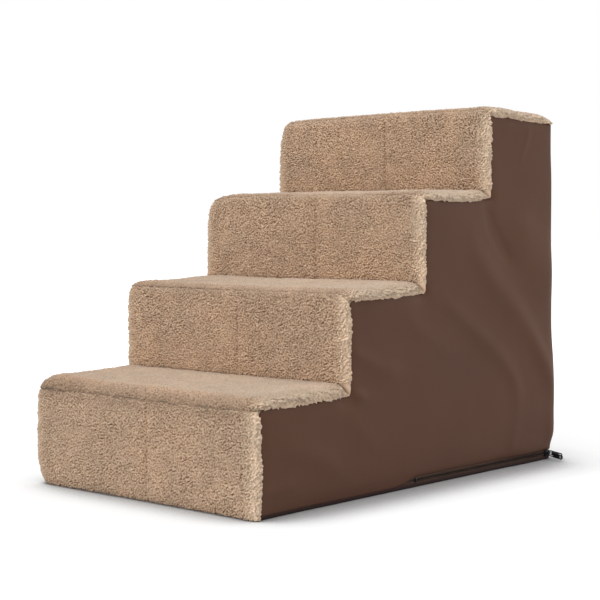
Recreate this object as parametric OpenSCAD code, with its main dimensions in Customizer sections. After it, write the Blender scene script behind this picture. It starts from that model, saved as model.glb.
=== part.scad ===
// Four-step pet stairs: a foam block in a zipped cover of pile and smooth cloth.
// X is the width, Y runs up the stairs to the back, Z is up. The origin is the middle of the base.

/* [Steps] */
// Width over the two side panels
stairs_w = 406; // [300:1:500]
// Height of the first tread's seam above the floor
rise_1 = 129; // [100:1:160]
// Rise of the second step
rise_2 = 124; // [100:1:160]
// Rise of the third step
rise_3 = 127; // [100:1:160]
// Rise of the fourth step
rise_4 = 118; // [100:1:160]
// Depth of the first tread
run_1 = 165; // [120:1:220]
// Depth of the second tread
run_2 = 158; // [120:1:220]
// Depth of the third tread
run_3 = 157; // [120:1:220]
// Depth of the fourth tread
run_4 = 149; // [120:1:220]

/* [Pile] */
// Thickness of the pile where it is sewn
pile_seam_t = 5; // [3:0.5:8]
// Rise of a tread's crown above its seams, just behind the nose
tread_nose_crown = 7; // [2:0.5:10]
// Rise of a tread's crown above its seams, in the corner behind it
tread_corner_crown = 5; // [2:0.5:10]
// Swell of a riser's pile beyond its seams
riser_crown = 4.5; // [2:0.5:10]
// Distance from a seam over which the pile rounds over
pile_round = 22; // [12:1:40]
// Gap between the lowest pile and the floor
pile_floor_gap = 0.6; // [0:0.1:2]

/* [Cover] */
// Thickness of the side, back and base cloth
cloth_t = 1.2; // [0.8:0.1:2]
// Thickness of the padded base sheet
base_t = 2; // [1.5:0.1:4]
// Radius of the side panel's upper corners
nose_r = 6; // [2:0.5:12]

/* [Zip] */
// Height of the middle of the zip above the floor
zip_z = 9.5; // [9.5:0.1:14]
// Distance from the front of the foam to the end of the zip
zip_end = 300; // [40:1:450]
// Radius of the zip at the two back corners
zip_corner_r = 3; // [2.5:0.1:4]
// Width of the upper tape above the coil's inner edge
tape_w = 11; // [8:0.5:16]
// Thickness of the tape
tape_t = 0.7; // [0.5:0.1:1]
// Gap between the two halves of the coil
coil_gap = 1.2; // [1:0.1:1.4]
// Width of one half of the coil
coil_w = 2; // [1.6:0.1:2.2]
// Length of an end stop along the zip
stop_l = 3; // [2:0.1:5]
// How far an end stop stands out of the coil's face
stop_rise = 0.8; // [0.4:0.1:1.2]

/* [Slider] */
// Length of a slider along the zip
slider_l = 10; // [8:0.5:11]
// Width of a slider across the zip
slider_w = 8.4; // [8:0.1:9]
// Thickness of a slider's outer plate
outer_plate_t = 1.4; // [1:0.1:2]
// Thickness of a slider's inner plate
inner_plate_t = 1.3; // [1:0.1:2]
// Thickness of a slider's turned-in edges
flange_t = 0.8; // [0.6:0.1:1]
// Width across the zip of the post between the plates
post_w = 0.8; // [0.6:0.1:0.8]
// Length of that post along the zip
post_l = 2.6; // [2:0.1:3.5]
// Running gap between a slider and the zip
slider_gap = 0.3; // [0.2:0.05:0.4]
// Length of the crown, the arch that holds the pull tab
crown_l = 7; // [6:0.1:8]
// Width of the crown
crown_w = 2.4; // [2:0.1:2.6]
// Thickness of the crown's arch
crown_t = 1.2; // [0.8:0.1:1.4]
// Height of the opening under the crown
crown_open_h = 3; // [2.8:0.1:3.4]
// Distance from the middle of each slider to the back corner
slider_from_corner = 9; // [9:0.1:12]

/* [Pull tab] */
// Length of a pull tab from its pivot bar to its tip
tab_l = 25.5; // [24:0.5:28]
// Width of a pull tab
tab_w = 7; // [6.8:0.1:7.4]
// Thickness of a pull tab, and of its pivot bar
tab_t = 1.2; // [1:0.1:1.4]
// Radius of the tab's outer corners
tab_r = 3; // [2.5:0.1:3.4]
// Width of the slot that goes round the crown
slot_w = 4.8; // [4.6:0.1:5]
// Length of that slot
slot_l = 8.4; // [7:0.1:10]
// Width of the window near the tip
window_w = 3.4; // [3:0.1:4]
// Length of that window
window_l = 4; // [3:0.1:5]
// Metal beyond the window, at the tip
tip_bar = 2; // [1.5:0.1:3]
// Droop of the side slider's tab below level
side_droop = 11; // [0:0.5:11]
// Droop of the back slider's tab below level
back_droop = 14; // [0:0.5:14]
// Turn of the back slider's tab away from the zip's line
back_tab_turn = 28; // [10:1:60]

/* [Hidden] */

$fn = 48;
cut = 1; // overrun of every cut

// Stairs outline: front[i] and top[i] are the riser plane and the tread height of step i, from 0
rises = [rise_1, rise_2, rise_3, rise_4];
runs = [run_1, run_2, run_3, run_4];
function total(list, n) = n == 0 ? 0 : list[n - 1] + total(list, n - 1);
stairs_l = total(runs, len(runs));
front = [for (i = [0 : len(runs) - 1]) total(runs, i) - stairs_l / 2];
top = [for (i = [0 : len(rises) - 1]) total(rises, i + 1)];
back_y = stairs_l / 2;
half_w = stairs_w / 2;

// Layers of the cover at the zip, measured inward from the cover's outer face
tape_in = cloth_t;
inner_plate_in = tape_in + tape_t + slider_gap;
foam_in = inner_plate_in + inner_plate_t + slider_gap;

// Heights of the zip's parts
slider_half = slider_w / 2;
hem_z = zip_z + slider_half + slider_gap;
turn_up_z = zip_z - slider_half - slider_gap;
tape_top = zip_z + coil_gap / 2 + tape_w;

// The tab's pivot bar lies near the middle of the crown's opening
pivot_out = slider_gap + outer_plate_t + crown_open_h / 2 + slider_gap / 3;

// How the pile's crown grows with the distance from a seam: share of pile_round, share of the crown
crown_shares = [[0, 0], [0.08, 0.4], [0.25, 0.68], [0.5, 0.87], [0.75, 0.97], [1, 1]];
// The pile meets in an inner corner at 45 degrees, and beside that corner it rises less steeply
corner_slope_share = 0.8;

pile_colour = [0.72, 0.6, 0.49];
cloth_colour = [0.37, 0.27, 0.22];
foam_colour = [0.93, 0.9, 0.8];
tape_colour = [0.2, 0.15, 0.12];
metal_colour = [0.12, 0.11, 0.11];

// Foam

module foam_slab(i) {
    low = i == 0 ? base_t : top[i - 1];
    color(foam_colour)
    difference() {
        translate([-half_w + cloth_t, front[i], low])
            cube([stairs_w - 2 * cloth_t, back_y - cloth_t - front[i], top[i] - low]);
        if (i == 0) zip_rebate();
    }
}

// Room for the zip and its sliders along three edges of the lowest slab
module zip_rebate() {
    translate([0, 0, base_t - cut])
        linear_extrude(tape_top + slider_gap - base_t + cut)
            difference() {
                plan(-cut, front[0] + zip_end - tape_tail);
                plan(foam_in, front[0] - cut);
            }
}

// Pile panels

// Distances of a panel's rows or columns from its start, close together near both seams
function seam_rows(l) = concat(
    [for (s = crown_shares) s[0] * min(pile_round, l / 3)],
    [l / 2],
    [for (k = [len(crown_shares) - 1 : -1 : 0]) l - crown_shares[k][0] * min(pile_round, l / 3)]
);

// Share of the crown at each of those rows
seam_crown = concat(
    [for (s = crown_shares) s[1]], [1],
    [for (k = [len(crown_shares) - 1 : -1 : 0]) crown_shares[k][1]]
);

// A panel that lies on XY with its pile up. It starts at y = 0. lean_a and lean_b say how each end
// meets the next panel: 1 leans out over a nose, -1 leans in along a corner, and 0 is square.
module pile_panel(w, l, crown_a, crown_b, lean_a, lean_b) {
    n = len(seam_crown);
    xs = seam_rows(w);
    flat_ys = seam_rows(l);
    pile_l = l + (lean_a + lean_b) * pile_seam_t;
    pile_ys = seam_rows(pile_l);
    flat_points = [for (j = [0 : n - 1]) for (i = [0 : n - 1]) [xs[i] - w / 2, flat_ys[j], 0]];
    pile_points = [
        for (j = [0 : n - 1]) for (i = [0 : n - 1])
            let (
                crown = crown_a + (crown_b - crown_a) * j / (n - 1),
                rise_limits = concat(
                    lean_a < 0 ? [corner_slope_share * pile_ys[j]] : [],
                    lean_b < 0 ? [corner_slope_share * (pile_l - pile_ys[j])] : []
                )
            )
            [
                xs[i] - w / 2,
                pile_ys[j] - lean_a * pile_seam_t,
                pile_seam_t + min(concat([crown * seam_crown[i] * seam_crown[j]], rise_limits))
            ]
    ];
    up = n * n;
    rim = concat(
        [for (i = [0 : n - 2]) i],
        [for (j = [0 : n - 2]) j * n + n - 1],
        [for (i = [n - 1 : -1 : 1]) (n - 1) * n + i],
        [for (j = [n - 1 : -1 : 1]) j * n]
    );
    faces = concat(
        [for (j = [0 : n - 2]) for (i = [0 : n - 2]) for (half = [0, 1])
            let (a = j * n + i, b = a + 1, c = a + n, d = c + 1) half == 0 ? [a, b, d] : [a, d, c]],
        [for (j = [0 : n - 2]) for (i = [0 : n - 2]) for (half = [0, 1])
            let (a = up + j * n + i, b = a + 1, c = a + n, d = c + 1) half == 0 ? [a, d, b] : [a, c, d]],
        [for (k = [0 : len(rim) - 1]) for (half = [0, 1])
            let (a = rim[k], b = rim[(k + 1) % len(rim)]) half == 0 ? [a, up + a, b] : [b, up + a, up + b]]
    );
    polyhedron(points = concat(flat_points, pile_points), faces = faces);
}

module tread_fleece(i) {
    last = i == len(runs) - 1;
    color(pile_colour)
        translate([0, front[i], top[i]])
            pile_panel(stairs_w, runs[i], tread_nose_crown, tread_corner_crown, 1, last ? 0 : -1);
}

module riser_fleece(i) {
    low = i == 0 ? pile_floor_gap : top[i - 1];
    color(pile_colour)
        translate([0, front[i], low])
            rotate([90, 0, 0])
                pile_panel(stairs_w, top[i] - low, riser_crown, riser_crown, i == 0 ? 0 : -1, 1);
}

// Cloth panels

// The outer shape of one step block, seen from the side, with its upper corners rounded
module step_block(y, z) {
    difference() {
        translate([y, hem_z]) square([back_y - y, z - hem_z]);
        translate([y - cut, z - nose_r]) square([nose_r + cut, nose_r + cut]);
    }
    translate([y + nose_r, z - nose_r]) circle(nose_r);
}

// Right side panel's outline. In front of the zip it comes down to the base's turned-up edge.
module side_outline() {
    for (i = [0 : len(runs) - 1]) step_block(front[i], top[i]);
    translate([front[0], turn_up_z]) square([zip_end - tape_tail, hem_z - turn_up_z + cut]);
}

module side_panel() {
    color(cloth_colour)
        translate([half_w - cloth_t, 0, 0])
            rotate([90, 0, 90])
                linear_extrude(cloth_t) side_outline();
}

module side_panel_right() {
    side_panel();
}

module side_panel_left() {
    mirror([1, 0, 0]) side_panel();
}

module back_panel() {
    color(cloth_colour)
        translate([-half_w + cloth_t, back_y - cloth_t, hem_z])
            cube([stairs_w - 2 * cloth_t, cloth_t, top[3] - hem_z]);
}

module base_panel() {
    color(cloth_colour) {
        linear_extrude(base_t) plan(0, front[0]);
        linear_extrude(turn_up_z) band(0, cloth_t, front[0]);
    }
}

// Zip

// Tape beyond the end stops
tape_tail = 6;
// Radius left at a corner of the band's innermost layers
least_corner_r = 0.5;

// The stairs seen from above, drawn in by inset, with round back corners. It starts at y = start.
module plan(inset, start) {
    r = max(zip_corner_r - inset, least_corner_r);
    w = half_w - inset;
    y = back_y - inset;
    translate([-w, start]) square([2 * w, y - r - start]);
    translate([-w + r, start]) square([2 * (w - r), y - start]);
    for (side = [-1, 1]) translate([side * (w - r), y - r]) circle(r);
}

// A band along the two sides and the back, inset from the cover's outer face and t thick
module band(inset, t, start) {
    difference() {
        plan(inset, start);
        plan(inset + t, start - cut);
    }
}

module zip_tape_upper() {
    low = zip_z + coil_gap / 2;
    color(tape_colour)
        translate([0, 0, low])
            linear_extrude(tape_top - low) band(tape_in, tape_t, front[0] + zip_end - tape_tail);
}

module zip_tape_lower() {
    color(tape_colour)
        translate([0, 0, base_t])
            linear_extrude(zip_z - coil_gap / 2 - base_t)
                band(tape_in, tape_t, front[0] + zip_end - tape_tail);
}

module zip_coil(low) {
    color(metal_colour)
        translate([0, 0, low])
            linear_extrude(coil_w) band(0, cloth_t, front[0] + zip_end + stop_l);
}

module zip_coil_upper() {
    zip_coil(zip_z + coil_gap / 2);
}

module zip_coil_lower() {
    zip_coil(zip_z - coil_gap / 2 - coil_w);
}

// One stop at each end of the zip, clamped over both tapes
module zip_stops() {
    h = coil_gap + 2 * coil_w;
    color(metal_colour)
        for (side = [0, 1]) mirror([side, 0, 0])
            translate([half_w - cloth_t, front[0] + zip_end, zip_z - h / 2])
                cube([cloth_t + stop_rise, stop_l, h]);
}

// A slider drawn flat: the zip runs along X with the corner at +X, the width is along Y, and
// Z points out of the cover, whose outer face is at z = 0
module slider_body() {
    outer_z = slider_gap;
    inner_z = -inner_plate_in - inner_plate_t;
    post_x = slider_l / 2 - post_l - slider_gap;
    flange_low = -cloth_t + slider_gap;
    color(metal_colour) {
        translate([0, 0, outer_z]) linear_extrude(outer_plate_t) slider_plan();
        translate([0, 0, inner_z]) linear_extrude(inner_plate_t) slider_plan();
        translate([post_x, -post_w / 2, inner_z])
            cube([post_l, post_w, outer_z - inner_z + outer_plate_t / 2]);
        for (side = [0, 1]) mirror([0, side, 0])
            translate([-slider_l / 2 + slider_head_r, slider_half - flange_t, flange_low])
                cube([slider_l - 2 * slider_head_r, flange_t, outer_z - flange_low + outer_plate_t / 2]);
        translate([0, crown_w / 2, outer_z + outer_plate_t]) rotate([90, 0, 0])
            linear_extrude(crown_w) crown_outline();
    }
}

slider_head_r = 1.6; // radius of a slider plate's corners

module slider_plan() {
    round_rect(slider_l, slider_w, slider_head_r);
}

// A rectangle centred on the origin with round corners
module round_rect(l, w, r) {
    square([l - 2 * r, w], center = true);
    square([l, w - 2 * r], center = true);
    for (x = [-1, 1], y = [-1, 1]) translate([x * (l / 2 - r), y * (w / 2 - r)]) circle(r);
}

// The crown's arch on the outer plate, seen from the side
module crown_outline() {
    h = crown_open_h + crown_t;
    difference() {
        union() {
            translate([-crown_l / 2, -outer_plate_t / 2])
                square([crown_l, h - crown_t + outer_plate_t / 2]);
            translate([-crown_l / 2 + crown_t, 0]) square([crown_l - 2 * crown_t, h]);
            for (side = [-1, 1]) translate([side * (crown_l / 2 - crown_t), h - crown_t]) circle(crown_t);
        }
        translate([-crown_l / 2 + crown_t, 0]) square([crown_l - 2 * crown_t, crown_open_h]);
    }
}

// A pull tab with its pivot bar on Z at the origin. It points along +X and stands on edge.
module pull_tab() {
    bar_r = tab_t / 2;
    window_end = tab_l - tip_bar;
    color(metal_colour) {
        rotate([90, 0, 0])
            linear_extrude(tab_t, center = true)
                difference() {
                    union() {
                        translate([0, -tab_w / 2]) square([tab_l - tab_r, tab_w]);
                        translate([tab_l - tab_r, -tab_w / 2 + tab_r]) square([tab_r, tab_w - 2 * tab_r]);
                        for (side = [-1, 1]) translate([tab_l - tab_r, side * (tab_w / 2 - tab_r)])
                            circle(tab_r);
                    }
                    translate([-cut, -slot_w / 2]) square([bar_r + slot_l + cut, slot_w]);
                    translate([window_end - window_l, -window_w / 2]) square([window_l, window_w]);
                }
        cylinder(h = tab_w, r = bar_r, center = true);
    }
}

// Places of the sliders: the side one looks out along +X, the back one along +Y
side_slider_y = back_y - slider_from_corner;
back_slider_x = half_w - slider_from_corner;

module zip_slider_side() {
    translate([half_w, side_slider_y, zip_z]) rotate([90, 0, 90]) slider_body();
}

module zip_slider_back() {
    translate([back_slider_x, back_y, zip_z]) rotate([-90, 0, 0]) slider_body();
}

module zip_pull_side() {
    translate([half_w + pivot_out, side_slider_y, zip_z]) rotate([0, side_droop, 0]) pull_tab();
}

module zip_pull_back() {
    translate([back_slider_x, back_y + pivot_out, zip_z])
        rotate([0, 0, back_tab_turn]) rotate([0, back_droop, 0]) pull_tab();
}

foam_slab(0);  // foam_slab_1
foam_slab(1);  // foam_slab_2
foam_slab(2);  // foam_slab_3
foam_slab(3);  // foam_slab_4
riser_fleece(0);  // riser_fleece_1
riser_fleece(1);  // riser_fleece_2
riser_fleece(2);  // riser_fleece_3
riser_fleece(3);  // riser_fleece_4
tread_fleece(0);  // tread_fleece_1
tread_fleece(1);  // tread_fleece_2
tread_fleece(2);  // tread_fleece_3
tread_fleece(3);  // tread_fleece_4
side_panel_right();
side_panel_left();
back_panel();
base_panel();
zip_tape_upper();
zip_tape_lower();
zip_coil_upper();
zip_coil_lower();
zip_stops();
zip_slider_side();
zip_slider_back();
zip_pull_side();
zip_pull_back();
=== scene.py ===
"""Pet stairs: sherpa pile, brown microfibre, zip and studio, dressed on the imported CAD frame.

X is the width, Y runs up the stairs and Z is up. Lengths in the frame are in metres. In millimetres are
names that end in _MM, places on a panel of pile or cloth or along the zip, and heights off a panel.
"""
import math

import bmesh
import bpy
import numpy as np
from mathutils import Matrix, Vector


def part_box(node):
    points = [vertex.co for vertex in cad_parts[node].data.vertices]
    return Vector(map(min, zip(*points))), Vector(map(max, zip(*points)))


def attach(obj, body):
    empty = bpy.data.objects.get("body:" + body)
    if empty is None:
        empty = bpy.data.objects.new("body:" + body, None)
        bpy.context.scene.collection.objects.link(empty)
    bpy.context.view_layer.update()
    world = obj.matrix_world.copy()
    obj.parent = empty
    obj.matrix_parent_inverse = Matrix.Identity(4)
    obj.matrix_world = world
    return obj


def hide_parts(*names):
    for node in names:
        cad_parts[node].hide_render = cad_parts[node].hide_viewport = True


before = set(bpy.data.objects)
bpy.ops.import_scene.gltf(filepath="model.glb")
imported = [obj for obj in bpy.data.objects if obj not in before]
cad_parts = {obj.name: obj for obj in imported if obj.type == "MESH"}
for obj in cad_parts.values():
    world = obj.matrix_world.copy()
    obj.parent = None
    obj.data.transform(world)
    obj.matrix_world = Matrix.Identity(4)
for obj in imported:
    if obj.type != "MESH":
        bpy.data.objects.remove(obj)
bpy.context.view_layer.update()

MM = 0.001
STEPS = 4

# Places taken from the frame

HALF_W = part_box("side_panel_right")[1].x
BACK_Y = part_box("back_panel")[1].y
FRONTS = [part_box(f"riser_fleece_{i + 1}")[1].y for i in range(STEPS)]
TOPS = [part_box(f"tread_fleece_{i + 1}")[0].z for i in range(STEPS)]
PILE_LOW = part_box("riser_fleece_1")[0].z
HEM_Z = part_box("back_panel")[0].z
TURN_UP_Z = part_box("base_panel")[1].z
ZIP_START_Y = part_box("zip_tape_upper")[0].y
TAPE_LOW, TAPE_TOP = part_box("zip_tape_lower")[0].z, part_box("zip_tape_upper")[1].z
COIL_LOW, COIL_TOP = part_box("zip_coil_upper")  # opposite corners of the upper half's box
GAP_LOW_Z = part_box("zip_coil_lower")[1].z
ZIP_Z, COIL_GAP = (COIL_LOW.z + GAP_LOW_Z) / 2, COIL_LOW.z - GAP_LOW_Z

# Form of the pile, which rises from the foam's edges and rounds over to its full height

TREAD_PILES_MM = (16.5, 15.5, 12.5, 13.5)
RISER_PILE_MM = 13.0
TREAD_STEP_MM, RISER_STEP_MM = 0.95, 0.84  # grids of their meshes
SEAMS_OUT_MM = (11.0, 8.0, 7.0, 7.0)  # each step's nose seam, out from the riser's foam
SEAMS_UP_MM = (1.0, 9.5, 8.5, 9.5)  # the same, up from the tread's foam
TREAD_NOSE_ROUNDS_MM = (23.0, 20.0, 19.0, 19.0)
RISER_NOSE_ROUNDS_MM = (9.0, 13.0, 13.0, 13.0)
CONTACT_IN_MM, CONTACT_DOWN_MM = 3.0, 1.0  # how deep two piles meet in an inner corner
CORNER_ROUND_MM = 3.0
BACK_FOOT_MM, BACK_ROUND_MM = 4.0, 34.0
FLOOR_OUT_MM, FLOOR_ROUND_MM = 6.5, 15.0
SIDE_START_MM, SIDE_BULGE_MM = 1.2, 2.8  # how far the pile hangs over a side panel, at its end and at most
SIDE_ROUND_MM = 24.0
SIDE_LOW_SHARE = 0.16  # share of its height at which it hangs over most
FRINGE_MM = 0.8  # how far its fringe reaches down over a side panel
CURVE_POINTS, ROUND_POINTS = 40, 200

# Curls of the pile

STROKE_MM, CLUMP_MM, FIBRE_MM = 3.4, 5.6, 1.3  # spacing of strokes, of the clumps they form, of fibres
CURL_SHARES, CURL_LIFT = (0.85, 0.2, 0.9), 0.35
STROKE_TURN = 1.5  # how far a stroke may turn off the flow, in radians
STROKE_SPACING, STROKE_ALONG, STROKE_ACROSS = 0.8, 0.44, 0.4  # shares of its wave: spacing and sizes
STROKE_REACH, STROKE_LAYERS = 2, 2
FLOW_MEAN, FLOW_TURNS = 0.8, ((1.3, 38), (0.5, 13))  # radians, and how slowly it turns so far
OUTWARDS_FROM_MM, OUTWARDS_OVER_MM = 18, 12  # where strokes turn outwards, in from a side edge
CALM_MEAN, CALM_SPREAD, CALM_MM = 0.85, 0.35, 28  # how strong the curls are, and in what patches
PILE_H_MM = 3.6  # from the gaps to the tips
LEAN_MM, LEAN_SIZE_MM = 0.8, 4.0  # how far tips lean aside
LUMP_MM, LUMP_H_MM = 24.0, 0.5  # soft lumps
WAVE_MM, WAVE_H_MM = 75.0, 1.0  # broad unevenness
RAGGED_MM, WANDER_MM = 4.5, 35  # size of a seam's raggedness, and of the wavers of a fold line
RIM_W_MM, RIM_CALM = 5, 0.45  # the strip along the side edges, and how much calmer its pile is
EDGE_LOCK_MM = 2.0  # how far locks of pile stick out along the side edges
EDGE_LOCK_SIZES_MM = (2.2, 6.0)
TUCK_MM, TUCK_REACH_MM = 6.0, 6  # how far the ends of a nose seam draw in at the sides
BRUSHED_CURL = 0.2  # height of brushed pile

# Looks of the pile, read by its material as a shade from 0 in the gaps to 1: the pile's own tone, with
# painted light and shade in it

SEAM_SHOWS = (0.9, 0.6, 0.4, 0.35)  # how deep the nose seam shows on each step
SEAM_W_MM, SEAM_DEEP_MM = 2.2, 2.5
NOSE_TOP_LIGHT = 0.36  # painted top light: how much of the greyer top colour a nose has
NOSE_WIDTHS_MM = (25.0, 27.0, 23.0, 23.0)  # how far back from its seam a tread's nose reaches
RISER_NOSE_WIDTH_MM = 11.0
EDGE_LIGHT_LEFT_SHARE = 0.35  # how much of the painted light on the side fringe shows on the left
# painted shade in a nose seam's groove and along a fold line
GROOVE_PAINTED_SHADE, CREASE_PAINTED_SHADE = 0.85, 0.13
FOOT_PAINTED_SHADE, FOOT_REACH_MM = 0.35, 5  # painted shade in an inner corner, and how far it reaches
LEFT_FROM_MM, LEFT_OVER_MM = 20, 140  # where the nap of a tread's left part grows darker

# brushed: how calm the pile lies on top, and how much greyer painted top light it has there. edge_light_w,
# edge_light_top:
# width and strength of the painted light on the fringe along the sides. shade: paleness of the tips, higher
# on the risers as painted light. nose_painted_shade: painted shade over a nose. left_darker: how much darker
# the nap is
# on the left. creases: place, width, depth and waver of each fold line.
# The risers' higher shade is painted light: it lifts the risers, which the lamps leave a little dark.
RISER_LOOK = {"brushed": 0.0, "edge_light_w": 13.0, "edge_light_top": 0.86, "shade": 0.91, "nose_painted_shade": 0.26,
              "left_darker": 0.0, "creases": [(18.0, 2.0, 2.0, 2.0), (185.0, 1.8, 1.0, 2.0)]}
TREAD_LOOK = {"brushed": 0.56, "edge_light_w": 7.0, "edge_light_top": 0.7, "shade": 0.85, "nose_painted_shade": 0.4,
              "left_darker": 0.24, "creases": []}

# Cloth panels

CLOTH_T_MM = 0.8
CLOTH_STAND_MM = 0.6  # how far the slack cloth stands off the CAD panel
SLACK_MM = 1.0  # how much further its middle stands off
SLACK_EDGE_MM, EDGE_FOLDS = 14, 0.35  # width over which the slack begins, and share of a fold at an edge
FOLD_FADE, FOLD_END = 0.25, 0.25  # shares of a fold's length where it fades, and of its height at its ends
ROUTE_POINTS = 24
CLOTH_STEP_MM, BASE_STEP_MM = 4.2, 6.0
ROLL_W_MM, ROLL_IN_MM = 6.0, 1.5  # strip along an edge that turns in to its seam, and how far it does
HEM_ROLL_IN_MM = 0.35  # the same in front of the zip
HEM_LIMIT_MM = 26.0  # above this height the hem's rise moves nothing
HEM_RISE_Y_MM = (-62.0, -12.5)  # where the side hems rise over the zip
NOSE_R_MM = 6.0
BASE_ROUND_MM = 3.0

# Foam and zip

FOAM_IN_MM, FOAM_EDGE_MM = 1.2, 40  # how far a slab lies inside its cover, and its mesh's longest edge
ZIP_CORNER_MM, ZIP_STEP_MM, CORNER_POINTS = 3.0, 3.0, 12
COIL_PITCH_MM, COIL_WIRE_MM, COIL_OUT_MM = 1.3, 0.42, 0.75
COIL_MESH_MM = 0.25  # how far the loops of each half reach in among the other's
TAPE_IN_MM, TAPE_T_MM = 1.25, 0.6  # how far the tapes lie inside the outer faces, and their thickness
TAPE_END_MM = 40.0  # how far they run on in front of the zip's end
TAPE_WAVE_MM, TAPE_WAVE_SIZE_MM, TAPE_ROWS, TAPE_SLIT_MM = 0.25, 22, 6, 0.1
SLIDER_EDGE_MM, TAB_EDGE_MM = 0.14, 0.2  # how far their edges are broken

# Places of a panel's top and underside on its map, as shares of the map's height
MAP_TOP, MAP_UNDER, MAP_UNDER_H = 0.9, 0.93, 0.06


# Numbers and noise

def eased(t):
    """A share from 0 to 1 that starts and ends gently."""
    return t * t * (3 - 2 * t)


def bell(distance, width):
    """1 at no distance, which falls off within about that width."""
    return np.exp(-((distance / width) ** 2))


def lengths_along(points):
    """Distances of a line's points from its start, along the line."""
    return np.append(0, np.cumsum(np.linalg.norm(np.diff(points, axis=0), axis=1)))


def points_at(lengths, along, points):
    """Points of a line at those distances along it."""
    return np.stack([np.interp(lengths, along, points[:, k]) for k in range(2)], -1)


def noise(a, b, size, seed):
    """Smooth noise from -1 to 1, with features about size across, at the points a, b."""
    rng = np.random.default_rng(seed)
    a, b = a / size, b / size
    i, j = np.floor(a).astype(int), np.floor(b).astype(int)
    fa, fb = eased(a - i), eased(b - j)
    i, j = i - i.min(), j - j.min()
    values = rng.uniform(-1, 1, (i.max() + 2, j.max() + 2))
    low = values[i, j] * (1 - fa) + values[i + 1, j] * fa
    high = values[i, j + 1] * (1 - fa) + values[i + 1, j + 1] * fa
    return low * (1 - fb) + high * fb


def packets(a, b, wave, seed):
    """Short strokes of pile, about wave apart, along a slow flow that points outwards near the sides."""
    rng = np.random.default_rng(seed)
    spacing = STROKE_SPACING * wave
    a, b = a / spacing, b / spacing
    i, j = np.floor(a).astype(int), np.floor(b).astype(int)
    reach = STROKE_REACH
    i_low, j_low = i.min() - reach, j.min() - reach
    shape = (i.max() - i_low + reach + 1, j.max() - j_low + reach + 1)
    cell_a, cell_b = np.meshgrid(*(np.arange(n) * spacing for n in shape), indexing="ij")
    flow = FLOW_MEAN + sum(turn * noise(cell_a, cell_b, size, seed + 1 + k)
                           for k, (turn, size) in enumerate(FLOW_TURNS))
    in_from_side = np.abs(cell_a + i_low * spacing) - HALF_W / MM
    flow = flow * (1 - np.clip((in_from_side + OUTWARDS_FROM_MM) / OUTWARDS_OVER_MM, 0, 1))
    total = np.zeros(a.shape)
    for _ in range(STROKE_LAYERS):
        place_a, place_b = rng.random(shape), rng.random(shape)
        angles = flow + rng.uniform(-STROKE_TURN, STROKE_TURN, shape)
        phases, sizes = rng.uniform(0, 2 * np.pi, shape), rng.uniform(0.6, 1.4, shape)
        for di in range(-reach, reach + 1):
            for dj in range(-reach, reach + 1):
                cell = i + di - i_low, j + dj - j_low
                to_a = (i + di + place_a[cell] - a) * spacing
                to_b = (j + dj + place_b[cell] - b) * spacing
                angle = angles[cell]
                along = (to_a * np.cos(angle) + to_b * np.sin(angle)) / (STROKE_ALONG * wave)
                across = (to_b * np.cos(angle) - to_a * np.sin(angle)) / wave
                falloff = np.exp(-0.5 * along ** 2 - 0.5 * (across / STROKE_ACROSS) ** 2)
                total += sizes[cell] * falloff * np.cos(2 * np.pi * across + phases[cell])
    return total / total.std()


# Meshes

def grid_cells(points):
    """The numbers of a grid of points, and those at the corners of each cell."""
    rows, columns = points.shape[:2]
    index = np.arange(rows * columns).reshape(rows, columns)
    return index, np.stack([index[:-1, :-1], index[:-1, 1:], index[1:, 1:], index[1:, :-1]], -1)


def add_map(mesh, uv):
    layer = mesh.uv_layers.new(name="OFBake")
    layer.data.foreach_set("uv", uv.reshape(-1).astype(np.float32))


def mesh_piece(name, points, faces):
    """A piece with smooth shading. points is an array with x, y and z last."""
    mesh = bpy.data.meshes.new(name)
    mesh.from_pydata(points.reshape(-1, 3).tolist(), [], faces)
    shade_smooth(mesh)
    return new_object(name, mesh)


def shade_smooth(mesh):
    mesh.polygons.foreach_set("use_smooth", np.ones(len(mesh.polygons), bool))


def grid_piece(name, points, values):
    """A closed piece: a grid of points over one flat face. values are attributes that its material reads."""
    index, quads = grid_cells(points)
    quads = quads.reshape(-1, 4)
    rim = np.concatenate([index[0, :-1], index[:-1, -1], index[-1, :0:-1], index[:0:-1, 0]])[::-1]
    piece = mesh_piece(name, points, quads.tolist() + [rim.tolist()])
    mesh = piece.data
    mesh.polygons[-1].use_smooth = False
    rows, columns = index.shape
    row, column = np.divmod(np.append(quads, rim), columns)
    uv = np.stack([column / (columns - 1), MAP_TOP * row / (rows - 1)], -1)
    uv[quads.size:, 1] = MAP_UNDER + MAP_UNDER_H * row[quads.size:] / (rows - 1)
    add_map(mesh, uv)
    for key, value in values.items():
        attribute = mesh.attributes.new(key, "FLOAT", "POINT")
        attribute.data.foreach_set("value", value.reshape(-1).astype(np.float32))
    mesh.validate()
    return piece


def new_object(name, mesh):
    piece = bpy.data.objects.new(name, mesh)
    bpy.context.scene.collection.objects.link(piece)
    return piece


def dress(piece, material, node, body="root"):
    """Gives a piece its material and its body, and puts it in the place of its CAD node."""
    piece.data.materials.clear()
    piece.data.materials.append(material)
    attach(piece, body)
    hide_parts(node)


def grid_normals(points):
    """Unit normals of a grid of points, on the side that its faces turn to."""
    down = np.gradient(points, axis=0)
    across = np.gradient(points, axis=1)
    normal = np.cross(across, down)
    length = np.linalg.norm(normal, axis=2, keepdims=True)
    return normal / np.maximum(length, 1e-9)


# Soft places: where the cover has settled off the straight form of its foam

SETTLE_CORE_MM = 15  # how far round a place its own movement holds

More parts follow.
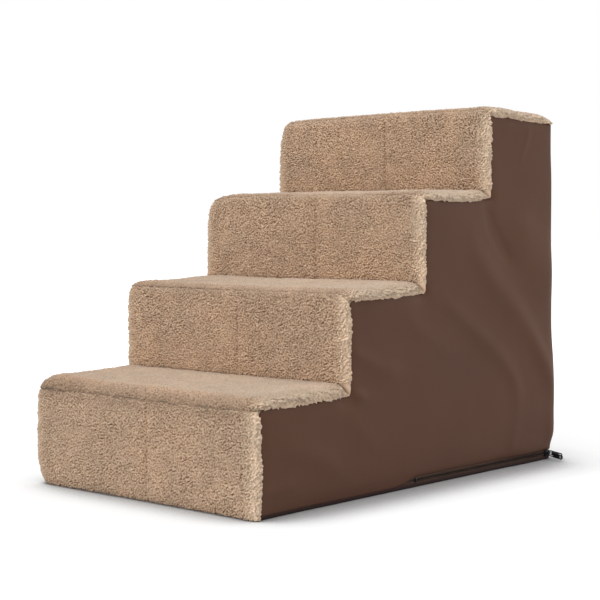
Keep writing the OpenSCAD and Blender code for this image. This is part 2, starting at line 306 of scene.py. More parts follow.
# y and z, then how far x draws in, y moves back and z rises, in millimetres
SETTLED = [
    (-314.5, 5, 0, 0, 0),
    (-314.5, 129, 0, 0, -1),
    (-149.5, 129, 0, 0, 4),
    (-149.5, 253, 0, 0, -1.5),
    (8.5, 253, 1.5, 0, 4),
    (8.5, 380, 1.5, 0, 0),
    (165.5, 380, 6, 0, 6),
    (165.5, 498, 6, 0, 1.5),
    (314.5, 498, 2, 0, -2),
    (314.5, 380, 0, 0, 0),
    (314.5, 240, -1, 1, 0),
    (314.5, 90, -4.5, 4.5, 0),
    (314.5, 45, -5, 5, 0),
    (314.5, 14, 0, 0, 0),
    (150, 5, 0, 0, 0),
    (0, 5, 0, 0, 0),
    (-150, 5, 0, 0, 0),
]

# A place (x, y, z), how far it moves in x, y and z, and over what distance, in millimetres
SOFT_CORNERS = [
    ((-203, -314.5, 129), (1, 0, -2), 22),
    ((-203, -314.5, 0), (9, 4, 0), 20),
    ((203, -314.5, 8), (2, -4, 0), 30),
    ((203, -314.5, 100), (-1.5, 0, 0), 50),
    ((-203, 8.5, 380), (4, 0, -9), 26),
    ((-203, 165.5, 498), (5, 0, -8), 18),
    ((-203, 165.5, 498), (0, 0, -3), 110),
    ((203, -290, 129), (0, 0, 3.0), 30),
    ((203, -240, 129), (0, 0, 2.5), 45),
    ((-203, -285, 129), (0, 0, 2.5), 40),
    ((203, -122, 253), (0, 0, 2.5), 30),
    ((-203, -125, 253), (0, 0, 1.5), 30),
    ((203, 35, 380), (0, 0, 2.5), 28),
    ((203, 120, 380), (0, 0, -2.5), 40),
    ((203, 8.5, 320), (-1.5, 0, 0), 50),
    ((203, 165.5, 440), (-2, 0, 0), 50),
    ((203, 195, 498), (0, 0, 2.5), 30),
    ((203, 270, 498), (0, 0, 2.0), 40),
    ((-203, -322, 142), (4, 0, 0), 12),
    ((203, -161, 131), (-4, 0, 1), 13),
    ((203, -3, 255), (-4, 0, 1), 13),
    ((203, 154, 382), (-3, 0, 1), 13),
]


def settled(points):
    """Points in metres, moved as the soft cover has settled."""
    own = (points / MM).astype(float)
    x, y, z = np.moveaxis(own, -1, 0)
    total, moves = 0, 0
    for place_y, place_z, *move in SETTLED:
        weight = 1 / ((y - place_y) ** 2 + (z - place_z) ** 2 + SETTLE_CORE_MM ** 2) ** 1.5
        total = total + weight
        moves = moves + np.multiply.outer(move, weight)
    inward, back, up = moves / total
    moved = np.stack([x - inward * x / (HALF_W / MM), y + back, z + up], -1)
    for place, move, reach in SOFT_CORNERS:
        away = ((own - place) ** 2).sum(-1)
        moved += np.multiply.outer(np.exp(-away / reach ** 2), move)
    return moved * MM


# Pile panels

def spaced(curve, step):
    """Points along a dense curve, about a step apart."""
    along = lengths_along(curve)
    count = max(2, round(along[-1] / step))
    return points_at(np.linspace(0, along[-1], count + 1), along, curve)


def rounded_over(rise, across, pile, step):
    """A dense curve and from its end a rounding up to level, as points about a step apart."""
    (x, y), turn = rise[-1], np.linspace(0, np.pi / 2, ROUND_POINTS)
    over = np.stack([x + across * (1 - np.cos(turn)), y + (pile - y) * np.sin(turn)], -1)
    return np.concatenate([spaced(rise, step), spaced(over, step)[1:]])


def panel_end(place, height, across, sewn=False):
    """One end of a panel, sewn along a nose or not. Its pile shows from that place, in from the foam's
    edge, and from that height, and it has its full height that far across.
    """
    return {"foot": (place, height), "across": across, "sewn": sewn}


def end_rows(end, pile, step):
    """Rows from the foam's edge over one end of a panel: place, height, and place at the sides."""
    rise = np.linspace(0, 1, CURVE_POINTS)[:, None] * np.array(end["foot"])
    curve = rounded_over(rise, end["across"], pile, step)
    share = np.linspace(0, 1, len(curve)) ** 1.4
    return curve[:, 0], curve[:, 1], share * curve[-1, 0]


def panel_rows(length, ends, pile, step):
    """Rows along a panel: place, height, and place at the sides, in millimetres."""
    (place_a, height_a, side_a), (place_b, height_b, side_b) = (end_rows(end, pile, step) for end in ends)
    count = round((length - place_b[-1] - place_a[-1]) / step)
    middle = np.linspace(place_a[-1], length - place_b[-1], count + 1)[1:-1]
    return (
        np.concatenate([place_a, middle, (length - place_b)[::-1]]),
        np.concatenate([height_a, np.full(len(middle), pile), height_b[::-1]]),
        np.concatenate([side_a, middle, (length - side_b)[::-1]]),
    )


def panel_columns(pile, step):
    """Columns across a panel: x, bulge past the foam's side, and share of the height."""
    half_w = HALF_W / MM
    turn = np.linspace(0, 1, CURVE_POINTS)
    side = np.stack([-SIDE_START_MM - (SIDE_BULGE_MM - SIDE_START_MM) * np.sin(turn * np.pi / 2),
                     SIDE_LOW_SHARE * pile * turn - FRINGE_MM * (1 - turn) ** 2], -1)
    curve = rounded_over(side, SIDE_ROUND_MM, pile, step)
    inward, share = curve[:, 0], curve[:, 1] / pile
    count = round(2 * (half_w - inward[-1]) / step)
    middle = np.linspace(-half_w + inward[-1], half_w - inward[-1], count + 1)[1:-1]
    x = np.concatenate([-half_w + inward, middle, (half_w - inward)[::-1]])
    bulge = np.sign(x) * np.maximum(np.abs(x) - half_w, 0)
    return x - bulge, bulge, np.concatenate([share, np.ones(len(middle)), share[::-1]])


def developed(points):
    """Distances across and along a grid of points, from its middle, which the curls follow."""
    def lengths(axis):
        steps = np.diff(points, axis=axis, prepend=np.take(points, [0], axis=axis))
        length = np.cumsum(np.linalg.norm(steps, axis=2), axis=axis)
        return length - np.take(length, [length.shape[axis] // 2], axis=axis)
    return lengths(1), lengths(0)


def pile_surface(rows, columns, ends, pile):
    """A panel's smooth surface in its own millimetres, and a mask: 0 where it is hidden, 1 in the open."""
    place, height, side_place = (values[:, None] for values in rows)
    x, bulge, share = columns
    drawn = 1 - (1 - np.clip(share, 0, 1)) ** 1.6
    smooth = np.stack([x + bulge * np.clip(height / 4.0, 0, 1),
                       side_place + (place - side_place) * drawn, height * share], -1)
    half = len(height) // 2
    low = np.repeat([[end["foot"][1]] for end in ends], (half, len(height) - half), axis=0)
    shown = np.clip((height - low) / np.minimum(2.0, pile - low) + 0.35, 0, 1) * (height >= low - 1e-6)
    return smooth, shown * np.clip((share + 0.15) / 0.15, 0.3, 1)


def end_distance(b, height, ends, sewn):
    """Distance along a panel from the foot of its sewn end, or of its other end."""
    if ends[0]["sewn"] == sewn:
        row = np.argmax(height >= ends[0]["foot"][1] - 1e-6)
    else:
        row = len(height) - 1 - np.argmax(height[::-1] >= ends[1]["foot"][1] - 1e-6)
    return np.abs(b - b[row][None, :])


def seam_groove(away, strength, x, ragged):
    """1 in the groove of a nose seam and 0 elsewhere, stronger towards the left."""
    along = np.clip(0.75 - x / 260, 0.1, 1.4) * np.clip(0.5 + 1.7 * ragged, 0.0, 1.6)
    return strength * along * bell(away + 1.4 * ragged, SEAM_W_MM)


def brushed_top(a, b, x, from_nose, height_share, side_share, seed):
    """1 where a tread's pile lies brushed flat, further back on the left, and 0 on its nose."""
    from_nose = from_nose + 0.05 * x - 8 * noise(a, b, 40, seed)
    open_rows = np.clip((height_share - 0.3) / 0.4, 0, 1)[:, None]
    open_columns = np.clip((side_share - 0.05) / 0.3, 0, 1)[None, :]
    return np.clip(from_nose / 16, 0, 1) * open_rows * open_columns


def curls(a, b, seed):
    """Height of the curls, from -1 in the gaps to 1: strokes in clumps, with fibres over them."""
    parts = (packets(a, b, STROKE_MM, seed), packets(a, b, CLUMP_MM, seed + 3),
             noise(a, b, FIBRE_MM, seed + 14))
    calm = CALM_MEAN + CALM_SPREAD * noise(a, b, CALM_MM, seed + 13)
    return np.tanh(calm * sum(share * part for share, part in zip(CURL_SHARES, parts)) + CURL_LIFT)


def unevenness(a, b, x, ragged, creases, seed):
    """Broad lumps and fold lines of a panel, and how strong the painted shade is along the fold lines."""
    soft = LUMP_H_MM * noise(a, b, LUMP_MM, seed + 6)
    soft = soft + WAVE_H_MM * noise(a, b, WAVE_MM, seed + 7)
    crease_shade = np.zeros(a.shape)
    for place, width, depth, waver in creases:
        wander = waver * noise(a, b, WANDER_MM, seed + 8)
        valley = depth * bell(x - (place + wander), width)
        soft = soft - valley
        crease_shade = crease_shade + valley * np.clip(0.5 + ragged, 0, 1)
    return soft, crease_shade


def pile_panel(name, to_world, length, ends, pile, step, seed, look, seam, nose):
    """A panel of curly pile. to_world turns its own millimetres into metres in the frame.

    seam says how deep its nose seam shows, and nose how far from that seam its nose reaches.
    """
    rows, columns = panel_rows(length, ends, pile, step), panel_columns(pile, step)
    smooth, mask = pile_surface(rows, columns, ends, pile)
    a, b = developed(smooth)
    x, heights, share = smooth[..., 0], rows[1], columns[2]
    seam_away = end_distance(b, heights, ends, True)
    beyond = np.abs(x) - HALF_W / MM
    rim = bell(beyond, RIM_W_MM)
    # painted light along the side edges, strongest on the right
    edge_light = bell(beyond, look["edge_light_w"]) * np.where(x > 0, 1, EDGE_LIGHT_LEFT_SHARE)
    at_nose = bell(seam_away, nose) * (1 - edge_light)
    top = look["brushed"] * brushed_top(a, b, x, seam_away - nose, heights / pile, share, seed + 20)
    curly = curls(a, b, seed)
    curly = (curly + (BRUSHED_CURL - curly) * top) * (1 - RIM_CALM * rim)
    ragged = noise(a, b, RAGGED_MM, seed + 12)
    soft, crease_shade = unevenness(a, b, x, ragged, look["creases"], seed)
    groove = seam_groove(seam_away, seam, x, ragged)

    smooth_world = to_world(smooth)
    normal = grid_normals(smooth_world)
    height = PILE_H_MM * 0.5 * (curly - 0.3)
    moved = normal * (mask * (height * (1 - 0.5 * np.clip(groove, 0, 1)) + soft))[..., None]
    moved = moved - normal * (SEAM_DEEP_MM * groove * (mask > 0))[..., None]
    lean = np.stack([noise(a, b, LEAN_SIZE_MM, seed + 9 + k) for k in range(3)], -1)
    moved = moved + LEAN_MM * lean * (mask * (0.5 + 0.5 * curly))[..., None]
    small, large = EDGE_LOCK_SIZES_MM
    locks = noise(a, b, small, seed + 15) + 0.6 * noise(a, b, large, seed + 18)
    outwards = EDGE_LOCK_MM * mask * np.clip(locks + 0.3 * curly, -0.8, 1.3)
    outwards = outwards - TUCK_MM * bell(seam_away, TUCK_REACH_MM)
    moved[..., 0] += np.sign(x) * rim * outwards
    moved = moved + fringe(smooth, smooth_world, a, b, seed + 16)
    points = settled(smooth_world + moved * MM)
    points[..., 2] = np.maximum(points[..., 2], PILE_LOW)

    # painted shade in a nose seam's groove and along the fold lines
    shade = (0.5 + 0.5 * curly) * (1 - GROOVE_PAINTED_SHADE * np.clip(groove, 0, 1))
    shade = look["shade"] * (shade * (1 - np.clip(CREASE_PAINTED_SHADE * crease_shade, 0, 0.5)))
    # painted shade in an inner corner, less on the side edges
    at_foot = np.exp(-end_distance(b, heights, ends, False) / FOOT_REACH_MM)
    shade = shade * (1 - FOOT_PAINTED_SHADE * at_foot * (1 - edge_light))
    left = np.clip((-LEFT_FROM_MM - x) / LEFT_OVER_MM, 0, 1)
    # painted shade over a nose, where the light from above falls strongest
    shade = shade * (1 - look["left_darker"] * left) * (1 - look["nose_painted_shade"] * at_nose)
    # painted light on the side fringe, fullest where it hangs over
    edge_light_share = 1 - (1 - look["edge_light_top"]) * np.clip(share, 0, 1)
    shade = shade + (1 - shade) * edge_light * edge_light_share[None, :]
    # greyer painted top light on the treads' tops and the noses
    brushed = np.maximum(top, NOSE_TOP_LIGHT * at_nose)
    return grid_piece(name, points, {"pile_tone_and_painted_light": shade, "pile_painted_top_light": brushed})


def fringe(smooth, smooth_world, a, b, seed):
    """Draws the panel's hanging side edge up or down, lock by lock."""
    reach = np.clip(-smooth[..., 2] / FRINGE_MM, 0, 1)
    locks = noise(a, b, 2.4, seed) + 0.5 * noise(a, b, 7.0, seed + 1)
    up = np.gradient(smooth_world, axis=1)
    up *= -np.sign(smooth[..., :1])
    up[..., 0] = 0
    up /= np.maximum(np.linalg.norm(up, axis=2, keepdims=True), 1e-9)
    return up * (EDGE_LOCK_MM * reach * np.clip(locks - 0.2, -1.2, 0.7))[..., None]


def make_pile(material):
    """Four riser panels and four tread panels."""
    in_corner = RISER_PILE_MM - CONTACT_IN_MM
    for i in range(STEPS):
        low, end_y = PILE_LOW, BACK_Y
        low_end = panel_end(0.0, FLOOR_OUT_MM, FLOOR_ROUND_MM)
        far_end = panel_end(-SIDE_BULGE_MM, BACK_FOOT_MM, BACK_ROUND_MM)
        if i > 0:
            low = TOPS[i - 1]
            low_end = panel_end(TREAD_PILES_MM[i - 1] - CONTACT_DOWN_MM, in_corner, CORNER_ROUND_MM)
        if i < STEPS - 1:
            end_y = FRONTS[i + 1]
            far_end = panel_end(in_corner, TREAD_PILES_MM[i] - CONTACT_DOWN_MM, CORNER_ROUND_MM)
        riser_nose = panel_end(-SEAMS_UP_MM[i], SEAMS_OUT_MM[i], RISER_NOSE_ROUNDS_MM[i], sewn=True)
        tread_nose = panel_end(-SEAMS_OUT_MM[i], SEAMS_UP_MM[i], TREAD_NOSE_ROUNDS_MM[i], sewn=True)
        riser = pile_panel(
            f"sherpa_riser_{i + 1}", lambda own: own[..., [0, 2, 1]] * (MM, -MM, MM) + (0, FRONTS[i], low),
            (TOPS[i] - low) / MM, (low_end, riser_nose), RISER_PILE_MM, RISER_STEP_MM, 100 + 40 * i,
            RISER_LOOK, SEAM_SHOWS[i], RISER_NOSE_WIDTH_MM)
        tread = pile_panel(
            f"sherpa_tread_{i + 1}", lambda own: own * MM + (0, FRONTS[i], TOPS[i]),
            (end_y - FRONTS[i]) / MM, (tread_nose, far_end), TREAD_PILES_MM[i], TREAD_STEP_MM, 120 + 40 * i,
            TREAD_LOOK, SEAM_SHOWS[i], NOSE_WIDTHS_MM[i])
        for piece, node in ((riser, f"riser_fleece_{i + 1}"), (tread, f"tread_fleece_{i + 1}")):
            dress(piece, material, node)


# Cloth panels

def smooth_route(points):
    """A smooth line close to the given points."""
    points = np.array(points, float)
    along = lengths_along(points)
    line = points_at(np.linspace(0, along[-1], ROUTE_POINTS), along, points)
    for _ in range(3):
        line[1:-1] = (line[:-2] + 2 * line[1:-1] + line[2:]) / 4
    return line


def near_segment(p, q, start, end):
    """Distances of the points p, q from a straight line, and shares of its length where it is near."""
    (p0, q0), (p1, q1) = start, end
    dp, dq = p1 - p0, q1 - q0
    t = np.clip(((p - p0) * dp + (q - q0) * dq) / (dp * dp + dq * dq), 0, 1)
    return np.hypot(p - p0 - t * dp, q - q0 - t * dq), t


def fold(p, q, route, width, height):
    """A fold along a route, raised or sunk by that height. width is one value, or one at each end."""
    line = smooth_route(route)
    share = np.linspace(0, 1, len(line))
    best = np.full(p.shape, 1e9)
    where = np.zeros(p.shape)
    for start, end, s0, s1 in zip(line[:-1], line[1:], share[:-1], share[1:]):
        distance, t = near_segment(p, q, start, end)
        closer = distance < best
        best = np.where(closer, distance, best)
        where = np.where(closer, s0 + t * (s1 - s0), where)
    fade = eased(np.clip(np.minimum(where, 1 - where) / FOLD_FADE, 0, 1))
    width = np.interp(where, (0, 1), (width, width) if np.isscalar(width) else width)
    return height * (FOLD_END + (1 - FOLD_END) * fade) * bell(best, width)


# Folds of the right side panel: route as (y, z), width and height, in millimetres
SIDE_FOLDS = [
    ([(106, 362), (120, 314), (169, 260), (225, 219), (259, 182), (300, 126), (322, 64)], (27, 13), 4.5),
    ([(24, 250), (54, 237), (90, 218), (135, 190), (175, 165), (209, 134), (223, 96), (220, 60)], 14, 2.4),
    ([(150, 376), (166, 338), (190, 310), (216, 288)], 11, -2.6),
    ([(205, 368), (250, 322), (290, 282), (330, 240)], 40, 4.0),
    ([(-50, 238), (-10, 207), (27, 187), (73, 166)], 13, 1.2),
    ([(-166, 196), (-128, 178), (-86, 161), (-40, 150)], (9, 14), 2.4),
    ([(-184, 142), (-150, 133), (-112, 123)], 8, 3.2),
    ([(-160, 106), (-124, 80), (-88, 56)], 14, 1.2),
    ([(-286, 78), (-244, 74), (-205, 58), (-160, 36)], 15, 2.0),
    ([(-318, 31), (-288, 32), (-252, 36)], 9, 1.6),
    ([(257, 500), (250, 468), (238, 448), (233, 430)], 4.5, 1.2),
    ([(216, 64), (210, 40), (206, 20)], 10, 1.2),
    ([(296, 80), (303, 50), (314, 24)], 10, 1.2),
]
LEFT_FOLDS = [([(y + 14, z - 9) for y, z in route], width, height * 0.8)
              for route, width, height in SIDE_FOLDS[1:11]]
# The same for the back panel, with routes as (x, z)
BACK_FOLDS = [
    ([(-150, 470), (-120, 380), (-140, 300)], 12, 1.1),
    ([(60, 480), (40, 400), (70, 300), (60, 220)], 14, 1.0),
    ([(-190, 160), (-90, 120), (30, 110)], 12, -0.8),
    ([(190, 150), (120, 110), (40, 60)], 12, 1.1),
    ([(-180, 60), (-140, 40), (-90, 34)], 9, 0.8),
    ([(195, 330), (150, 250), (150, 180)], 12, -0.8),
]


def stair_outline():
    """Corners of the stairs' side in millimetres, round from the front of the hem."""
    corners = [(FRONTS[0], TURN_UP_Z)]
    for i in range(STEPS):
        corners.append((FRONTS[i], TOPS[i]))
        corners.append((FRONTS[i + 1] if i + 1 < STEPS else BACK_Y, TOPS[i]))
    corners.append((BACK_Y, TURN_UP_Z))
    return np.array(corners) / MM


def outline_distance(p, q, outline):
    """Distance of the points p, q from a closed outline."""
    sides = zip(outline, np.roll(outline, -1, axis=0))
    return np.min([near_segment(p, q, *side)[0] for side in sides], axis=0)


def divided(stops, step):
    """Values that include every stop, about a step apart."""
    values = [stops[0]]
    for a, b in zip(stops[:-1], stops[1:]):
        values.extend(np.linspace(a, b, max(1, round((b - a) / step)) + 1)[1:])
    return np.array(values)


def sheet_piece(name, points, used, thickness, material, node):
    """A sheet on a grid of points, thickened inwards. used marks the cells it has, or is ... for all."""
    index, quads = grid_cells(points)
    kept, quads = np.unique(quads[used], return_inverse=True)
    quads = quads.reshape(-1, 4)
    piece = mesh_piece(name, points.reshape(-1, 3)[kept], quads.tolist())
    rows, columns = index.shape
    row, column = np.divmod(kept[quads.ravel()], columns)
    add_map(piece.data, np.stack([column / (columns - 1), row / (rows - 1)], -1))
    smooth = piece.modifiers.new("smooth", "SUBSURF")
    smooth.levels = smooth.render_levels = 1
    solid = piece.modifiers.new("thickness", "SOLIDIFY")
    solid.thickness = thickness * MM
    solid.offset = -1
    apply_modifiers(piece)
    dress(piece, material, node)
    return piece


def apply_modifiers(piece):
    graph = bpy.context.evaluated_depsgraph_get()
    mesh = bpy.data.meshes.new_from_object(piece.evaluated_get(graph), depsgraph=graph)
    old = piece.data
    piece.modifiers.clear()
    piece.data = mesh
    mesh.name = old.name
    bpy.data.meshes.remove(old)


def cloth_out(p, q, outline, folds, roll_in, seed):
    """How far slack cloth stands off the CAD panel, in metres. roll_in is how far its edges turn in."""
    edge = outline_distance(p, q, outline)
    inner = np.clip(edge / SLACK_EDGE_MM, 0, 1)
    swell = 0.9 * noise(p, q, 95, seed) + 0.25 * noise(p, q, 34, seed + 1)
    out = (swell + SLACK_MM) * inner
    for route, width, height in folds:
        out = out + fold(p, q, route, width, height) * (EDGE_FOLDS + (1 - EDGE_FOLDS) * inner)
    roll = np.clip(1 - edge / ROLL_W_MM, 0, 1)
    out = np.maximum(out, -0.5 * CLOTH_STAND_MM) - roll_in * (1 - np.sqrt(1 - roll ** 2))
    return (CLOTH_STAND_MM + out) * MM


def side_panel(name, node, side, folds, seed, material):
    """A side panel of microfibre on the side +1 or -1."""
    turn_up, hem, tops = TURN_UP_Z / MM, HEM_Z / MM, np.array(TOPS) / MM
    y = divided(np.array([*FRONTS, BACK_Y]) / MM, CLOTH_STEP_MM)
    z = divided([turn_up, HEM_LIMIT_MM, *tops], CLOTH_STEP_MM)
    q, p = np.meshgrid(z, y, indexing="ij")
    middle_p, middle_q = ((v[:-1, :-1] + v[1:, 1:]) / 2 for v in (p, q))
    used = np.zeros(middle_p.shape, bool)
    for front, top in zip(FRONTS, tops):
        used |= (middle_p > front / MM) & (middle_q < top)
    rise = np.interp(p, HEM_RISE_Y_MM, (0, 1)) ** 1.7
    hem_roll_in = HEM_ROLL_IN_MM + (ROLL_IN_MM - HEM_ROLL_IN_MM) * rise
    roll_in = np.where(q < turn_up + ROLL_W_MM, hem_roll_in, ROLL_IN_MM)
    x = side * (HALF_W + cloth_out(p, q, stair_outline(), folds, roll_in, seed))
    low = turn_up + (hem - turn_up) * rise
    lifted = low + (q - turn_up) * (HEM_LIMIT_MM - low) / (HEM_LIMIT_MM - turn_up)
    p, q = round_corners(p, np.where(q < HEM_LIMIT_MM, lifted, q))
    points = settled(np.stack([x, p * MM, q * MM], -1))
    if side < 0:
        points, used = points[:, ::-1], used[:, ::-1]
    piece = sheet_piece(name, points, used, CLOTH_T_MM, material, node)


def round_corners(p, q):
    """Pulls the points in each upper corner of the side onto its round edge."""
    corners = [(front / MM, top / MM, 1) for front, top in zip(FRONTS, TOPS)]
    corners.append((BACK_Y / MM, TOPS[-1] / MM, -1))
    for corner_p, corner_q, inward in corners:
        centre_p, centre_q = corner_p + inward * NOSE_R_MM, corner_q - NOSE_R_MM
        dp, dq = p - centre_p, q - centre_q
        distance = np.hypot(dp, dq)
        beyond = (dp * inward < 0) & (dq > 0) & (distance > NOSE_R_MM)
        beyond &= (np.abs(dp) <= NOSE_R_MM + 0.01) & (dq <= NOSE_R_MM + 0.01)
        pull = np.where(beyond, NOSE_R_MM / np.maximum(distance, 1e-6), 1)
        p, q = centre_p + dp * pull, centre_q + dq * pull
    return p, q


def back_panel(material):
    """The back panel of microfibre."""
    half_w, low, top = HALF_W / MM, HEM_Z / MM, TOPS[-1] / MM
    x, z = divided([-half_w, half_w], CLOTH_STEP_MM), divided([low, top], CLOTH_STEP_MM)
    q, p = np.meshgrid(z, x, indexing="ij")
    outline = np.array([(-half_w, low), (-half_w, top), (half_w, top), (half_w, low)])
    y = BACK_Y + cloth_out(p, q, outline, BACK_FOLDS, ROLL_IN_MM, 31)
    points = settled(np.stack([p * MM, y, q * MM], -1)[:, ::-1])
    piece = sheet_piece("back_cloth", points, ..., CLOTH_T_MM, material, "back_panel")


def base_sheet(material):
    """The base cloth: flat under the foam, its edge turned up all round."""
    r = BASE_ROUND_MM
    arc = r * math.pi / 2
    reach = arc + TURN_UP_Z / MM - r
    inner = np.array([HALF_W / MM - r, BACK_Y / MM - r])
    lines = []
    for half in inner:
        line = divided([-half - reach, -half, half, half + reach], BASE_STEP_MM)
        fine = [np.linspace(line[0], line[0] + reach, 9), np.linspace(line[-1] - reach, line[-1], 9)]
        lines.append(np.unique(np.concatenate([line, *fine])))
    flat = np.stack(np.meshgrid(*lines, indexing="ij"), -1)
    near = np.clip(flat, -inner, inner)
    away = np.linalg.norm(flat - near, axis=2)
    aside = (flat - near) / np.maximum(away, 1e-9)[..., None]
    beyond = np.min([away[:-1, :-1], away[1:, 1:], away[:-1, 1:], away[1:, :-1]], axis=0)
    away = np.minimum(away, reach)
    turn = np.minimum(away / r, math.pi / 2)
    place = near + aside * (r * np.sin(turn))[..., None]
    up = r * (1 - np.cos(turn)) + np.maximum(away - arc, 0)
    points = settled(np.concatenate([place, up[..., None]], -1) * MM)
    used = beyond < reach
    piece = sheet_piece("base_cloth", points, used, CLOTH_T_MM, material, "base_panel")


# Foam and zip

def cad_piece(name, node, change):
    """A piece with the shape of a CAD node, after change has worked on its joined faces."""
    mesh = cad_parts[node].data.copy()
    mesh.name = name
    work = bmesh.new()
    work.from_mesh(mesh)
    bmesh.ops.remove_doubles(work, verts=work.verts, dist=1e-6)
    change(work)
    work.to_mesh(mesh)
    work.free()
    return new_object(name, mesh)


def settle_foam(work):
    """Divides a slab's faces, draws them in a little and moves them as the cover has settled."""
    bmesh.ops.triangulate(work, faces=work.faces)
    for _ in range(4):
        long_edges = [edge for edge in work.edges if edge.calc_length() > FOAM_EDGE_MM * MM]
        if long_edges:
            bmesh.ops.subdivide_edges(work, edges=long_edges, cuts=1)
            bmesh.ops.triangulate(work, faces=work.faces)
    work.normal_update()
    places = np.array([vertex.co - vertex.normal * FOAM_IN_MM * MM for vertex in work.verts])
    for vertex, place in zip(work.verts, settled(places)):
        vertex.co = place


def foam_slab(i, material):
    """A foam slab that has settled with its cover, a little inside it."""
    node = f"foam_slab_{i + 1}"
    piece = cad_piece(f"foam_{i + 1}", node, settle_foam)
    dress(piece, material, node)


def zip_path(inset, start):
    """Points along the zip, outward normals and lengths, from the right front round the back."""
    r = ZIP_CORNER_MM - inset
    x, y = HALF_W / MM - inset, BACK_Y / MM - inset
    points, normals = [], []
    sides = [((x, start), (x, y - r)), ((x - r, y), (-x + r, y)), ((-x, y - r), (-x, start))]
    for k, (first, last) in enumerate(sides):
        normal = np.array([(1, 0), (0, 1), (-1, 0)][k])
        count = max(2, round(math.dist(first, last) / ZIP_STEP_MM))
        points.extend(first + np.subtract(last, first) * (s / count) for s in range(count))
        normals.extend([normal] * count)
        if k < 2:
            for s in range(CORNER_POINTS):
                angle = math.radians(90 * (k + s / CORNER_POINTS))
                normals.append(np.array([math.cos(angle), math.sin(angle)]))
                points.append(last - r * normal + r * normals[-1])
    points = np.array(points)
    return points, np.array(normals), lengths_along(points)


def tube(name, line, radius, sides):
    """A closed tube of that radius round a line of points, in metres."""
    tangent = np.gradient(line, axis=0)
    tangent /= np.linalg.norm(tangent, axis=1, keepdims=True)
    first = np.cross(tangent, (0.0, 0.0, 1.0))
    first /= np.maximum(np.linalg.norm(first, axis=1, keepdims=True), 1e-9)
    second = np.cross(tangent, first)
    angle = np.linspace(0, 2 * np.pi, sides, endpoint=False)[None, :, None]
    points = line[:, None] + radius * (first[:, None] * np.cos(angle) + second[:, None] * np.sin(angle))
    index = np.arange(len(line) * sides).reshape(-1, sides)
    around = np.roll(index, -1, axis=1)
    quads = np.stack([index[:-1], index[1:], around[1:], around[:-1]], -1).reshape(-1, 4)
    faces = quads.tolist() + [index[0].tolist(), index[-1][::-1].tolist()]
    return mesh_piece(name, points, faces)


def zip_coil(name, node, side, material):
    """One half of the zip: a coil of wire whose loops reach towards the other half."""
    points, normals, along = zip_path(COIL_OUT_MM, COIL_LOW.y / MM)
    turns = np.arange(0, along[-1] / COIL_PITCH_MM, 0.1)
    at = points_at(turns * COIL_PITCH_MM, along, points)
    normal = points_at(turns * COIL_PITCH_MM, along, normals)
    normal /= np.linalg.norm(normal, axis=1, keepdims=True)
    phase = 2 * np.pi * turns + (np.pi if side < 0 else 0)
    wire = COIL_WIRE_MM / 2
    near = COIL_GAP / 2 / MM - COIL_MESH_MM + wire
    far = COIL_GAP / 2 / MM + (COIL_TOP.z - COIL_LOW.z) / MM - wire
    z = ZIP_Z / MM + side * ((far + near) / 2 + (far - near) / 2 * np.cos(phase))
    out = (COIL_OUT_MM - wire) * np.sin(phase)
    piece = tube(name, np.column_stack([at + normal * out[:, None], z]) * MM, wire * MM, 6)
    dress(piece, material, node)


def zip_tape(name, node, low, high, seed, material):
    """One half's tape: a woven strip along the zip, between two heights in millimetres."""
    points, normals, along = zip_path(TAPE_IN_MM, ZIP_START_Y / MM - TAPE_END_MM)
    z, s = np.meshgrid(np.linspace(low, high, TAPE_ROWS), along, indexing="ij")
    out = TAPE_WAVE_MM * noise(s, z, TAPE_WAVE_SIZE_MM, seed)
    grid = np.concatenate([points + normals * out[..., None], z[..., None]], -1) * MM
    piece = sheet_piece(name, grid, ..., TAPE_T_MM, material, node)


def rounded_metal(name, node, body, width, material):
    """The CAD node's shape with its edges broken, for small cast metal."""
    piece = cad_piece(name, node, lambda work: bmesh.ops.dissolve_limit(
        work, angle_limit=math.radians(1), verts=work.verts, edges=work.edges))
    bevel = piece.modifiers.new("bevel", "BEVEL")
    bevel.width = width * MM
    bevel.segments = 2
    bevel.limit_method = "ANGLE"
    bevel.angle_limit = math.radians(32)
    bevel.use_clamp_overlap = True
    apply_modifiers(piece)
    shade_smooth(piece.data)
    dress(piece, material, node, body)


# Materials

def srgb(r, g, b):
    """Linear colour of an sRGB colour from 0 to 255."""
    def linear(v):
        v /= 255
        return v / 12.92 if v <= 0.04045 else ((v + 0.055) / 1.055) ** 2.4
    return (linear(r), linear(g), linear(b), 1)


def grey(v):
    return (v, v, v, 1)


